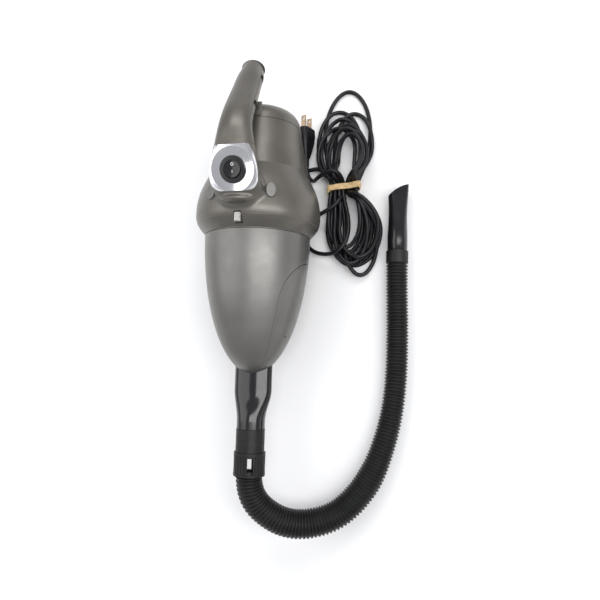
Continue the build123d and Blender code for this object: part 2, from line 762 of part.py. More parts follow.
with BuildPart() as motor_mount_front:
    revolve(tube_outline(52.5, 57.5, 30.0, 32.9), axis=BODY_AXIS)
motor_mount_front.part.label = "motor_mount_front"
export_step(motor_mount_front.part, "parts/motor_mount_front.step")

with BuildPart() as motor_mount_rear:
    revolve(tube_outline(CAN_R + 0.1, 44.6, 100.6, 103.6), axis=BODY_AXIS)
    revolve(tube_outline(CAN_R + 0.1, CAN_R + 3, 94.0, 100.6), axis=BODY_AXIS)
motor_mount_rear.part.label = "motor_mount_rear"
export_step(motor_mount_rear.part, "parts/motor_mount_rear.step")

# countersunk screws that hold the two halves together
with BuildPart() as housing_screws:
    for y, z in SCREW_SPOTS:
        with BuildSketch(Plane.YZ.offset(-10.2)):
            with Locations((y, z)):
                Circle(3.0)
        extrude(amount=2.2)
        with BuildSketch(Plane.YZ.offset(-8.1)):
            with Locations((y, z)):
                Circle(1.5)
        extrude(amount=16.5)
housing_screws.part.label = "housing_screws"
export_step(housing_screws.part, "parts/housing_screws.step")

# ---------------------------------------------------------------- hose adapter, cuffs and tool
ADAPTER_BACK_Y = -132.0
ADAPTER_BLEND = (-190.0, -224.0)
ADAPTER_END_Y = -232.6
ADAPTER_R = 15.9
HOSE_AXIS_Z = MOUTH_Z + 3.0
ADAPTER_STEPS = 5


def adapter_solid(inset):
    """From the flat oval of the mouth to the round end that carries the hose, moved in by inset."""
    sections = []
    for step in range(ADAPTER_STEPS + 1):
        share = step / ADAPTER_STEPS
        ease = share * share * (3 - 2 * share)
        y = ADAPTER_BLEND[0] + (ADAPTER_BLEND[1] - ADAPTER_BLEND[0]) * share
        z = MOUTH_Z + (HOSE_AXIS_Z - MOUTH_Z) * ease
        half_width = 21.8 + (ADAPTER_R + 0.02 - 21.8) * ease
        half_height = 11.5 + (ADAPTER_R - 11.5) * ease
        sections.append((y, z, half_width, half_height))
    with BuildPart() as body:
        add(oval_rod(21.8 - inset, 11.5 - inset, MOUTH_Z, ADAPTER_BLEND[0], ADAPTER_BACK_Y))
        add(lofted(sections, inset))
        add(oval_rod(ADAPTER_R + 0.02 - inset, ADAPTER_R - inset, HOSE_AXIS_Z, ADAPTER_END_Y, ADAPTER_BLEND[1]))
    return body.part


def lofted(sections, inset, x=0.0):
    """A loft through upright elliptical sections (y, z, half width, half height)."""
    with BuildPart() as body:
        for y, z, half_width, half_height in sections:
            with BuildSketch(Plane.XZ.offset(-y)):
                with Locations((x, z)):
                    Ellipse(half_width - inset, half_height - inset)
        loft()
    return body.part


def ring_along_y(x, z, inner, outer, start, end):
    """A round tube along Y, centred on (x, z)."""
    with BuildPart() as body:
        with BuildSketch(Plane.XZ.offset(-end)):
            with Locations((x, z)):
                Circle(outer)
                Circle(inner, mode=Mode.SUBTRACT)
        extrude(amount=end - start)
    return body.part


with BuildPart() as hose_adapter:
    add(adapter_solid(0))
    add(adapter_solid(2.0), mode=Mode.SUBTRACT)
    add(ring_along_y(0, HOSE_AXIS_Z, 11.6, 14.4, ADAPTER_END_Y, ADAPTER_END_Y + 2.4))
    add(ring_along_y(0, HOSE_AXIS_Z, 11.6, 13.3, ADAPTER_END_Y - 25.5, ADAPTER_END_Y))
hose_adapter.part.label = "hose_adapter"
export_step(hose_adapter.part, "parts/hose_adapter.step")

SLEEVE_END_Y = -258.2
CUFF_END_Y = -284.0
with BuildPart() as hose_sleeve:
    add(ring_along_y(0, HOSE_AXIS_Z, 13.5, 16.1, SLEEVE_END_Y, ADAPTER_END_Y - 0.3))
    with BuildSketch(Plane.XZ.offset(245.6)):
        with Locations((0, HOSE_AXIS_Z)):
            Circle(17)
            Circle(15.7, mode=Mode.SUBTRACT)
    extrude(amount=-0.8, mode=Mode.SUBTRACT)
hose_sleeve.part.label = "hose_sleeve"
export_step(hose_sleeve.part, "parts/hose_sleeve.step")

CUFF_R = 17.7
CUFF_RIBS = 28
with BuildPart() as hose_cuff:
    add(ring_along_y(0, HOSE_AXIS_Z, 14.2, CUFF_R, CUFF_END_Y, SLEEVE_END_Y - 0.2))
    with BuildSketch(Plane.XZ.offset(-CUFF_END_Y - 2)):
        with Locations((0, HOSE_AXIS_Z)):
            with PolarLocations(CUFF_R, CUFF_RIBS):
                Circle(0.75)
    extrude(amount=-20.5, mode=Mode.SUBTRACT)
    with BuildSketch(Plane.XZ.offset(-CUFF_END_Y - 3)):
        with Locations((0, HOSE_AXIS_Z)):
            with PolarLocations(CUFF_R - 1.5, 4, start_angle=68):
                Rectangle(8, 6.5)
    extrude(amount=-17.5, mode=Mode.SUBTRACT)
hose_cuff.part.label = "hose_cuff"
export_step(hose_cuff.part, "parts/hose_cuff.step")

COLLAR_START_Y = -38.0
COLLAR_END_Y = -23.6
hose_route = [
    (0.0, CUFF_END_Y, HOSE_AXIS_Z),
    (0.0, -307.0, 68.0),
    (24.0, -332.0, 56.0),
    (51.0, -342.0, 41.0),
    (86.0, -335.0, 27.0),
    (111.0, -315.0, 18.5),
    (133.0, -282.0, 15.0),
    (150.0, -228.0, 13.6),
    (156.5, -177.0, HOSE_Z),
    (157.0, -115.0, HOSE_Z),
    (TOOL_X, -62.0, HOSE_Z),
    (TOOL_X, COLLAR_START_Y, HOSE_Z),
]
hose_radii = round_path(hose_route)
print("hose radii", [round(r, 1) for r in hose_radii])
with BuildPart() as hose_tube:
    with BuildLine() as hose_line:
        FilletPolyline(*hose_route, radius=hose_radii)
    with BuildSketch(Plane(hose_line.line @ 0, z_dir=hose_line.line % 0)):
        Circle(HOSE_R)
        Circle(HOSE_BORE_R, mode=Mode.SUBTRACT)
    sweep(path=hose_line.line)
report_tube("hose", hose_line.wires()[0], hose_tube.part, pi * (HOSE_R**2 - HOSE_BORE_R**2))
hose_tube.part.label = "hose_tube"
export_step(hose_tube.part, "parts/hose_tube.step")

TOOL_R = 11.8
with BuildPart() as tool_collar:
    add(ring_along_y(TOOL_X, HOSE_Z, 11.75, 12.95, COLLAR_START_Y, COLLAR_END_Y))
    fillet(tool_collar.edges().filter_by(GeomType.CIRCLE).group_by(SortBy.RADIUS)[-1], radius=0.5)
tool_collar.part.label = "tool_collar"
export_step(tool_collar.part, "parts/tool_collar.step")

tool_sections = [
    (COLLAR_END_Y + 0.3, HOSE_Z, TOOL_R, TOOL_R),
    (-6.0, HOSE_Z, 11.7, 11.7),
    (8.0, HOSE_Z, 11.2, 10.6),
    (22.0, HOSE_Z, 10.9, 8.6),
    (38.0, HOSE_Z, 11.5, 7.2),
    (52.0, HOSE_Z, 12.3, 6.4),
    (66.0, HOSE_Z, 12.8, 6.0),
]
TOOL_WALL = 1.7
with BuildPart() as crevice_tool:
    add(lofted(tool_sections, 0, TOOL_X))
    add(lofted(tool_sections, TOOL_WALL, TOOL_X), mode=Mode.SUBTRACT)
    add(ring_along_y(TOOL_X, HOSE_Z, 9.6, 11.4, -35.5, COLLAR_END_Y + 0.3))
    with BuildSketch(Plane.XY):
        with BuildLine():
            mouth = ThreePointArc((142.0, 41.5), (154.0, 50.8), (168.5, 57.3))
            Polyline(mouth @ 1, (190, 90), (120, 90), (120, 30), mouth @ 0)
        make_face()
    extrude(amount=30, mode=Mode.SUBTRACT)
crevice_tool.part.label = "crevice_tool"
export_step(crevice_tool.part, "parts/crevice_tool.step")

# ---------------------------------------------------------------- power cord, hank and plug
with BuildPart() as strain_relief:
    with BuildSketch(relief_plane.offset(-5)):
        Circle(RELIEF_ROOT_R)
    with BuildSketch(relief_plane.offset(RELIEF_LENGTH)):
        Circle(RELIEF_TIP_R)
    loft()
    with BuildSketch(relief_plane.offset(-5)):
        Circle(RELIEF_TIP_R + 0.5)
    extrude(amount=-16)
    for ring in range(5):
        depth = 7 + 3.8 * ring
        with BuildSketch(relief_plane.offset(depth)):
            Circle(7)
            Circle(RELIEF_ROOT_R - 0.75 - 0.062 * depth, mode=Mode.SUBTRACT)
        extrude(amount=1.3, mode=Mode.SUBTRACT)
strain_relief.part.label = "strain_relief"
export_step(strain_relief.part, "parts/strain_relief.step")

relief_tip = relief_plane.offset(RELIEF_LENGTH).origin
lead_route = [
    tuple(relief_tip),
    tuple(relief_plane.offset(RELIEF_LENGTH + 11).origin),
    (-33.0, 167.0, 15.5),
    (-43.0, 171.0, 5.5),
    (-56.0, 164.0, CORD_Z),
    (-64.0, 146.0, CORD_Z),
    (-61.0, 122.0, CORD_Z),
    (-48.0, 100.0, CORD_Z),
    (-26.0, 84.0, CORD_Z),
    (2.0, 78.0, CORD_Z),
    (30.0, 80.0, CORD_Z),
    (54.0, 87.0, CORD_Z),
]
loop_route = [
    (75.0, -25.0, CORD_Z),
    (61.0, -25.0, CORD_Z),
    (48.5, -21.5, CORD_Z),
    (41.0, -8.0, CORD_Z),
    (41.5, 9.0, CORD_Z),
    (50.0, 20.0, CORD_Z),
    (61.0, 25.0, CORD_Z),
    (71.0, 36.0, CORD_Z),
]
tail_route = [
    (41.2, 84.0, 12.6),
    (43.0, 76.5, 10.4),
    (49.0, 70.0, 7.0),
    (57.5, 66.5, 4.8),
    (65.0, 65.0, 4.2),
]
for label, route in (("cord_lead", lead_route), ("cord_loop", loop_route), ("cord_tail", tail_route)):
    radii = round_path(route)
    print(label, "radii", [round(r, 1) for r in radii])
    with BuildPart() as cord:
        with BuildLine() as cord_line:
            FilletPolyline(*route, radius=radii)
        with BuildSketch(Plane(cord_line.line @ 0, z_dir=cord_line.line % 0)):
            Circle(CORD_R)
        sweep(path=cord_line.line)
    report_tube(label, cord_line.wires()[0], cord.part, pi * CORD_R**2)
    cord.part.label = label
    export_step(cord.part, f"parts/{label}.step")

# the hank: the outer shape of the folded cord, narrow where the band ties it
HANK_TOP = 15.0
BAND_Y = (52.5, 61.5)
BAND_X = 88.5
BAND_WIDTH = 38.0
BAND_HEIGHT = 17.6
BAND_WALL = 1.1
hank_outline = [
    (72.6, 66.0),
    (54.0, 80.0),
    (53.0, 104.0),
    (56.0, 130.0),
    (64.0, 150.0),
    (74.0, 170.0),
    (90.0, 182.0),
    (107.0, 175.0),
    (118.0, 156.0),
    (124.0, 132.0),
    (121.0, 104.0),
    (112.0, 80.0),
    (104.4, 66.0),
    (104.4, 48.0),
    (118.0, 42.0),
    (130.0, 26.0),
    (137.5, 6.0),
    (137.0, -12.0),
    (129.0, -30.0),
    (111.0, -49.0),
    (96.0, -42.0),
    (82.0, -32.0),
    (71.0, -16.0),
    (66.0, 2.0),
    (66.5, 22.0),
    (72.0, 40.0),
    (72.6, 48.0),
]
with BuildPart() as cord_hank:
    with BuildSketch(Plane.XY) as hank_face:
        with BuildLine():
            Polyline(hank_outline, close=True)
        make_face()
        fillet(hank_face.vertices(), radius=6)
    extrude(amount=HANK_TOP)
    with Locations((BAND_X, sum(BAND_Y) / 2, 0)):
        Box(60, BAND_Y[1] - BAND_Y[0] + 0.6, 2 * (BAND_WALL + 0.15), mode=Mode.SUBTRACT)
cord_hank.part.label = "cord_hank"
export_step(cord_hank.part, "parts/cord_hank.step")

with BuildPart() as rubber_band:
    with BuildSketch(Plane.XZ.offset(-BAND_Y[1])):
        with Locations((BAND_X, BAND_HEIGHT / 2)):
            RectangleRounded(BAND_WIDTH, BAND_HEIGHT, 4)
            RectangleRounded(BAND_WIDTH - 2 * BAND_WALL, BAND_HEIGHT - 2 * BAND_WALL, 2.9, mode=Mode.SUBTRACT)
    extrude(amount=BAND_Y[1] - BAND_Y[0])
rubber_band.part.label = "rubber_band"
export_step(rubber_band.part, "parts/rubber_band.step")

# the plug lies on its side, so one blade is above the other
PLUG_AXIS = (39.5, 13.4)
PLUG_ROLL = 20.0
roll = radians(PLUG_ROLL)
BLADE_PITCH = 12.7


def plug_plane(y):
    """Plane across the plug at y, its local x running from one blade to the other."""
    return Plane(origin=(PLUG_AXIS[0], y, PLUG_AXIS[1]), x_dir=(-sin(roll), 0, cos(roll)), z_dir=(0, 1, 0))


PLUG_FACE_Y = 133.5
with BuildPart() as plug_body:
    for y, long_side, short_side, corner in ((PLUG_FACE_Y, 23.5, 15.0, 5.0), (116.0, 23.0, 14.6, 5.0), (104.0, 16.5, 12.0, 4.5), (96.0, 11.0, 10.0, 4.2)):
        with BuildSketch(plug_plane(y)):
            RectangleRounded(long_side, short_side, corner)
    loft()
    with BuildSketch(plug_plane(96.0)):
        Circle(4.6)
    tail_direction = Vector(*tail_route[0]) - Vector(*tail_route[1])
    with BuildSketch(Plane(origin=tail_route[0], x_dir=(-sin(roll), 0, cos(roll)), z_dir=tail_direction)):
        Circle(3.2)
    loft()
plug_body.part.label = "plug_body"
export_step(plug_body.part, "parts/plug_body.step")

with BuildPart() as plug_blades:
    for side in (-1, 1):
        with BuildSketch(plug_plane(PLUG_FACE_Y)):
            with Locations((side * BLADE_PITCH / 2, 0)):
                Rectangle(1.5, 6.35)
        extrude(amount=16.0)
    with BuildSketch(Plane(origin=(PLUG_AXIS[0], PLUG_FACE_Y + 12, PLUG_AXIS[1]), x_dir=(0, 1, 0), z_dir=(-sin(roll), 0, cos(roll)))):
        Circle(1.6)
    extrude(amount=20, both=True, mode=Mode.SUBTRACT)
plug_blades.part.label = "plug_blades"
export_step(plug_blades.part, "parts/plug_blades.step")

# ---------------------------------------------------------------- mains wires inside the housing
WIRE_R = 1.2
terminal_end = plate_plane.offset(flange_seat - 17.0).origin
with BuildPart() as switch_wires:
    for side in (-1, 1):
        wire_route = [
            (side * 5.8, terminal_end.Y - 0.3, terminal_end.Z + 2.4),
            (side * 6.2, 36.4, 141.4),
            (side * 7.0, 35.0, 132.0),
            (side * 8.5, 35.2, 121.0),
            (side * 11.0, 50.0, 114.0),
            (side * 12.0, 64.0, 110.0),
            (side * 13.0, 74.0, 103.6),
        ]
        with BuildLine() as wire_line:
            FilletPolyline(*wire_route, radius=round_path(wire_route))
        with BuildSketch(Plane(wire_line.line @ 0, z_dir=wire_line.line % 0)):
            Circle(WIRE_R)
        sweep(path=wire_line.line)
switch_wires.part.label = "switch_wires"
export_step(switch_wires.part, "parts/switch_wires.step")
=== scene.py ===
import json
import math

import bpy
from mathutils import Matrix, Vector


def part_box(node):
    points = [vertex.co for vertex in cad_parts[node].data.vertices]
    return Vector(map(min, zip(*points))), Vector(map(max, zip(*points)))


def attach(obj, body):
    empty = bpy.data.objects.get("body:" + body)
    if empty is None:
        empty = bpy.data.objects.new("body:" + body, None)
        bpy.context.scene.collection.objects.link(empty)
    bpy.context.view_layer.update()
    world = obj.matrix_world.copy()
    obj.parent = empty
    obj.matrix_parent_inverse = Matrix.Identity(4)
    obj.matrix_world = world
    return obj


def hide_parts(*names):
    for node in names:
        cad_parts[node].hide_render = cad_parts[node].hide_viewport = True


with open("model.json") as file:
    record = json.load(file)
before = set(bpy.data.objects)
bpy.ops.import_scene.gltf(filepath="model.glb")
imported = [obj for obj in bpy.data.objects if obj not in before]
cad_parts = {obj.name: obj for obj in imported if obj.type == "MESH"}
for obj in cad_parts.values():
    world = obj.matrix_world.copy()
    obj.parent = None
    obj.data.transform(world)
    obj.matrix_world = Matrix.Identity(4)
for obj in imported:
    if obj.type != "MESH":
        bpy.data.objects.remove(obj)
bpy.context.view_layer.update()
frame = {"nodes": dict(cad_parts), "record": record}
nodes = frame["nodes"]
MM = 0.001


# ---------------------------------------------------------------- camera
camera_data = bpy.data.cameras.new("camera")
camera_data.lens = 33.6
camera_data.sensor_width = 36.0
camera_data.clip_start = 0.01
camera = bpy.data.objects.new("camera", camera_data)
bpy.context.scene.collection.objects.link(camera)
right = Vector((0.9699, 0.0309, -0.2415))
up = Vector((-0.0083, 0.9955, 0.0941))
back = right.cross(up).normalized()
up = back.cross(right).normalized()
right = right.normalized()
camera.matrix_world = Matrix(
    (
        (right.x, up.x, back.x, 0.20546),
        (right.y, up.y, back.y, -0.14390),
        (right.z, up.z, back.z, 0.67729),
        (0, 0, 0, 1),
    )
)
bpy.context.scene.camera = camera
bpy.context.scene.view_settings.view_transform = "Standard"


# ---------------------------------------------------------------- materials
def new_material(name):
    """A material with a principled shader, its node tree, and the coordinates its patterns use."""
    material = bpy.data.materials.new(name)
    material.use_nodes = True
    tree = material.node_tree
    shader = tree.nodes["Principled BSDF"]
    coords = tree.nodes.new("ShaderNodeTexCoord")
    return material, tree, shader, coords


def noise(tree, coords, scale, detail=3.0):
    """Fractal noise in the object's own coordinates, scale in waves per metre."""
    texture = tree.nodes.new("ShaderNodeTexNoise")
    texture.inputs["Scale"].default_value = scale
    texture.inputs["Detail"].default_value = detail
    tree.links.new(coords.outputs["Object"], texture.inputs["Vector"])
    return texture.outputs["Fac"]


def ramp(tree, value, low, high, start=0.35, end=0.65):
    """Two colours blended by a value between start and end."""
    blend = tree.nodes.new("ShaderNodeValToRGB")
    blend.color_ramp.elements[0].position = start
    blend.color_ramp.elements[1].position = end
    blend.color_ramp.elements[0].color = (*low, 1)
    blend.color_ramp.elements[1].color = (*high, 1)
    tree.links.new(value, blend.inputs["Fac"])
    return blend.outputs["Color"]


def spread_of(tree, value, low, high):
    """A value mapped from 0.3..0.7 on to low..high."""
    scaled = tree.nodes.new("ShaderNodeMapRange")
    scaled.inputs["From Min"].default_value = 0.3
    scaled.inputs["From Max"].default_value = 0.7
    scaled.inputs["To Min"].default_value = low
    scaled.inputs["To Max"].default_value = high
    tree.links.new(value, scaled.inputs["Value"])
    return scaled.outputs["Result"]


def bump(tree, value, distance, strength=1.0):
    """A normal roughened by a value."""
    relief = tree.nodes.new("ShaderNodeBump")
    relief.inputs["Distance"].default_value = distance
    relief.inputs["Strength"].default_value = strength
    tree.links.new(value, relief.inputs["Height"])
    return relief.outputs["Normal"]


def surface(
    name, low, high, rough, metallic=0.0, scale=60.0, grain=900.0, relief=0.00004, coat=0.0, sheen=0.0
):
    """A material with slow colour changes, uneven gloss and a fine grain."""
    material, tree, shader, coords = new_material(name)
    tree.links.new(ramp(tree, noise(tree, coords, scale), low, high), shader.inputs["Base Color"])
    patches = noise(tree, coords, scale * 2.3, 4.0)
    tree.links.new(spread_of(tree, patches, rough[0], rough[1]), shader.inputs["Roughness"])
    tree.links.new(bump(tree, noise(tree, coords, grain, 2.0), relief, 0.6), shader.inputs["Normal"])
    shader.inputs["Metallic"].default_value = metallic
    shader.inputs["Coat Weight"].default_value = coat
    shader.inputs["Coat Roughness"].default_value = 0.12
    shader.inputs["Sheen Weight"].default_value = sheen
    shader.inputs["Specular IOR Level"].default_value = 0.5 if metallic else 0.32
    return material


def flake_paint(name, low, high, rough, metallic, flake=2600.0, sparkle=0.25, coat=0.3):
    """Silver moulding paint: metal flakes under a thin clear coat."""
    material, tree, shader, coords = new_material(name)
    slow = ramp(tree, noise(tree, coords, 26.0), low, high)
    cells = tree.nodes.new("ShaderNodeTexVoronoi")
    cells.inputs["Scale"].default_value = flake
    tree.links.new(coords.outputs["Object"], cells.inputs["Vector"])
    grey = tree.nodes.new("ShaderNodeSeparateColor")
    tree.links.new(cells.outputs["Color"], grey.inputs["Color"])
    mixed = tree.nodes.new("ShaderNodeMix")
    mixed.data_type = "RGBA"
    mixed.blend_type = "OVERLAY"
    mixed.inputs["Factor"].default_value = sparkle
    tree.links.new(slow, mixed.inputs["A"])
    sparkles = ramp(tree, grey.outputs["Red"], (0.3, 0.3, 0.3), (0.72, 0.72, 0.72), 0.0, 1.0)
    tree.links.new(sparkles, mixed.inputs["B"])
    tree.links.new(mixed.outputs["Result"], shader.inputs["Base Color"])
    wear = noise(tree, coords, 70.0, 5.0)
    tree.links.new(spread_of(tree, wear, rough[0], rough[1]), shader.inputs["Roughness"])
    tree.links.new(bump(tree, noise(tree, coords, 1500.0, 2.0), 0.00003, 0.35), shader.inputs["Normal"])
    shader.inputs["Metallic"].default_value = metallic
    shader.inputs["Coat Weight"].default_value = coat
    shader.inputs["Coat Roughness"].default_value = 0.3
    return material


MATERIALS = {
    "housing_shell": flake_paint(
        "housing_shell", (0.120, 0.111, 0.096), (0.145, 0.135, 0.118), (0.38, 0.46),
        0.7,
    ),
    "handle_shell": flake_paint(
        "handle_shell", (0.120, 0.111, 0.096), (0.145, 0.135, 0.118), (0.38, 0.46),
        0.7,
    ),
    "nose_silver": flake_paint(
        "nose_silver", (0.165, 0.160, 0.151), (0.195, 0.190, 0.180), (0.42, 0.50),
        0.8, 3200.0, 0.15,
    ),
    "plate_silver": surface(
        "plate_silver", (0.70, 0.70, 0.72), (0.78, 0.78, 0.80), (0.07, 0.12),
        1.0, 40.0, 700.0, 0.00001,
    ),
    "black_gloss": surface(
        "black_gloss", (0.004, 0.004, 0.005), (0.007, 0.007, 0.008), (0.10, 0.20),
        0.0, 50.0, 400.0, 0.00001, 0.5,
    ),
    "black_matte": surface(
        "black_matte", (0.006, 0.006, 0.006), (0.010, 0.010, 0.010), (0.38, 0.52),
        0.0, 80.0, 1600.0,
    ),
    "mark_white": surface(
        "mark_white", (0.74, 0.74, 0.73), (0.84, 0.84, 0.83), (0.45, 0.6),
        0.0, 300.0, 2400.0, 0.00001,
    ),
    "satin_silver": flake_paint(
        "satin_silver", (0.36, 0.35, 0.33), (0.42, 0.41, 0.39), (0.2, 0.28),
        0.9,
    ),
    "hose_black": surface(
        "hose_black", (0.004, 0.004, 0.004), (0.008, 0.008, 0.008), (0.34, 0.5),
        0.0, 70.0, 1300.0,
    ),
    "cord_black": surface(
        "cord_black", (0.003, 0.003, 0.004), (0.006, 0.006, 0.008), (0.38, 0.50),
        0.0, 90.0, 1100.0, 0.00003, 0.05,
    ),
    "soft_black": surface(
        "soft_black", (0.014, 0.014, 0.014), (0.024, 0.024, 0.024), (0.5, 0.65),
        0.0, 90.0, 1300.0,
    ),
    "band_tan": surface(
        "band_tan", (0.50, 0.34, 0.16), (0.66, 0.48, 0.26), (0.45, 0.6),
        0.0, 220.0, 1500.0, 0.00008,
    ),
    "blade_brass": surface(
        "blade_brass", (0.50, 0.36, 0.24), (0.66, 0.50, 0.36), (0.28, 0.42),
        0.85, 180.0, 1200.0,
    ),
    "filter_cloth": surface(
        "filter_cloth", (0.60, 0.58, 0.54), (0.74, 0.72, 0.68), (0.8, 0.95),
        0.0, 120.0, 2200.0, 0.0001, 0.0, 0.3,
    ),
    "filter_foam": surface(
        "filter_foam", (0.02, 0.02, 0.022), (0.05, 0.05, 0.052), (0.85, 0.98),
        0.0, 600.0, 1500.0, 0.0003,
    ),
    "inner_plastic": surface(
        "inner_plastic", (0.03, 0.03, 0.032), (0.05, 0.05, 0.052), (0.4, 0.55),
        0.0, 60.0, 1200.0,
    ),
    "steel": surface(
        "steel", (0.42, 0.42, 0.43), (0.56, 0.56, 0.57), (0.24, 0.36),
        1.0, 140.0, 1800.0,
    ),
    "core_steel": surface(
        "core_steel", (0.16, 0.16, 0.165), (0.24, 0.24, 0.245), (0.4, 0.55),
        0.9, 300.0, 1800.0,
    ),
    "copper": surface(
        "copper", (0.42, 0.16, 0.07), (0.60, 0.26, 0.12), (0.25, 0.4),
        0.9, 300.0, 1800.0,
    ),
    "carbon": surface(
        "carbon", (0.015, 0.015, 0.016), (0.03, 0.03, 0.031), (0.55, 0.7),
        0.0, 200.0, 1800.0,
    ),
    "fan_plastic": surface(
        "fan_plastic", (0.48, 0.47, 0.44), (0.56, 0.55, 0.52), (0.4, 0.5),
        0.0, 60.0, 1200.0,
    ),
    "wire_jacket": surface(
        "wire_jacket", (0.02, 0.02, 0.16), (0.04, 0.04, 0.24), (0.35, 0.5),
        0.0, 120.0, 1200.0,
    ),
}
slot_of = {part["node"]: part["material_slot"] for part in frame["record"]["subparts"]}
for name, part in nodes.items():
    part.data.materials.clear()
    part.data.materials.append(MATERIALS[slot_of[name]])
nodes["rear_latch"].data.materials[0] = MATERIALS["housing_shell"]


# ---------------------------------------------------------------- meshes and curves
def add_mesh(name, vertices, faces, material, smooth=True):
    """A mesh object from its points, in millimetres, and faces."""
    mesh = bpy.data.meshes.new(name)
    mesh.from_pydata([tuple(c * MM for c in v) for v in vertices], [], faces)
    mesh.validate()
    mesh.update()
    for polygon in mesh.polygons:
        polygon.use_smooth = smooth
    mesh.materials.append(material)
    made = bpy.data.objects.new(name, mesh)
    bpy.context.scene.collection.objects.link(made)
    return made


def add_spline(name, points, bevel, material=None, resolution=12):
    """A smooth curve that starts and ends at its end points, which are in millimetres."""
    curve = bpy.data.curves.new(name, "CURVE")
    curve.dimensions = "3D"
    curve.resolution_u = resolution
    curve.bevel_depth = bevel * MM
    curve.bevel_resolution = 6
    curve.use_fill_caps = True
    spline = curve.splines.new("NURBS")
    spline.points.add(len(points) - 1)
    for place, point in zip(spline.points, points):
        place.co = (point[0] * MM, point[1] * MM, point[2] * MM, 1)
    spline.order_u = 3
    spline.use_endpoint_u = True
    if material:
        curve.materials.append(material)
    made = bpy.data.objects.new(name, curve)
    bpy.context.scene.collection.objects.link(made)
    return made


def line_of(points, step):
    """Evenly spaced points, in millimetres, along the spline of these control points."""
    guide = add_spline("guide", points, 0, resolution=24)
    bpy.context.view_layer.update()
    mesh = bpy.data.meshes.new_from_object(guide)
    path = [v.co / MM for v in mesh.vertices]
    bpy.data.objects.remove(guide)
    bpy.data.meshes.remove(mesh)
    spaced = [path[0]]
    left = step
    for a, b in zip(path, path[1:]):
        run = (b - a).length
        done = 0.0
        while run - done >= left:
            done += left
            spaced.append(a.lerp(b, done / run))
            left = step
        left -= run - done
    if (spaced[-1] - path[-1]).length > step * 0.3:
        spaced.append(path[-1])
    return spaced


def frames_along(path):
    """(point, side, up) at each point, turning as little as possible from one to the next."""
    out = []
    side = None
    for i, point in enumerate(path):
        ahead = (path[min(i + 1, len(path) - 1)] - path[max(i - 1, 0)]).normalized()
        if side is None:
            side = Vector((0, 0, 1)).cross(ahead).normalized()
        else:
            side = (side - ahead * side.dot(ahead)).normalized()
        out.append((point, side, ahead.cross(side).normalized()))
    return out


# ---------------------------------------------------------------- corrugated hose
HOSE_AXIS_Z = 70.0
HOSE_Z = 13.2
TOOL_X = 155.2
HOSE_ROUTE = [
    (0.0, -284.0, HOSE_AXIS_Z),
    (0.0, -307.0, 68.0),
    (24.0, -332.0, 56.0),
    (51.0, -342.0, 41.0),
    (86.0, -335.0, 27.0),
    (111.0, -315.0, 18.5),
    (133.0, -282.0, 15.0),
    (150.0, -228.0, 13.6),
    (156.5, -177.0, HOSE_Z),
    (157.0, -115.0, HOSE_Z),
    (TOOL_X, -62.0, HOSE_Z),
    (TOOL_X, -38.0, HOSE_Z),
]
HOSE_RADII = [14.8, 15.6, 16.2, 16.0, 15.4, 14.4, 13.6, 13.0, 12.7, 12.6]
RIB_PITCH = 3.9
RIB_STEPS = 8
RIB_PROFILE = [0.0, 0.55, 0.92, 1.0, 0.92, 0.55, 0.0, -0.12]
RIB_DEPTH = 1.7
SIDES = 44

hose_path = line_of(HOSE_ROUTE, RIB_PITCH / RIB_STEPS)
vertices = []
faces = []
frames = frames_along(hose_path)
last = len(frames) - 1
for i, (point, side, top) in enumerate(frames):
    share = i / last * (len(HOSE_RADII) - 1)
    low = min(int(share), len(HOSE_RADII) - 2)
    outer = HOSE_RADII[low] + (HOSE_RADII[low + 1] - HOSE_RADII[low]) * (share - low)
    outer = min(outer, point.z - 0.35)
    radius = outer - RIB_DEPTH * (1 - RIB_PROFILE[i % RIB_STEPS])
    for k in range(SIDES):
        angle = 2 * math.pi * k / SIDES
        vertices.append(point + side * radius * math.cos(angle) + top * radius * math.sin(angle))
for i in range(last):
    for k in range(SIDES):
        j = (k + 1) % SIDES
        faces.append((i * SIDES + k, i * SIDES + j, (i + 1) * SIDES + j, (i + 1) * SIDES + k))
faces.append(tuple(range(SIDES))[::-1])
faces.append(tuple(last * SIDES + k for k in range(SIDES)))
hose = add_mesh("hose_corrugated", vertices, faces, MATERIALS["hose_black"])
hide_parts("hose_tube")
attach(hose, "hose")

# ---------------------------------------------------------------- power cord in a tied hank
CORD = 5.0
CORD_Z = 2.6
BAND_Y = 57.0
TIE_HALF = 7.0
TIE_MIDDLE = 88.5
TIE_REACH = 15.1
COLUMN = 5.1
LAYER_Z = (3.8, 8.9, 14.0)
LEAD = [
    (-23.1, 149.2, 34.4),
    (-26.9, 157.1, 27.8),
    (-33.0, 167.0, 15.5),
    (-43.0, 171.0, 5.5),
    (-56.0, 164.0, CORD_Z),
    (-64.0, 146.0, CORD_Z),
    (-61.0, 122.0, CORD_Z),
    (-48.0, 100.0, CORD_Z),
    (-26.0, 84.0, CORD_Z),
    (2.0, 78.0, CORD_Z),
    (30.0, 80.0, CORD_Z),
    (54.0, 87.0, CORD_Z),
]
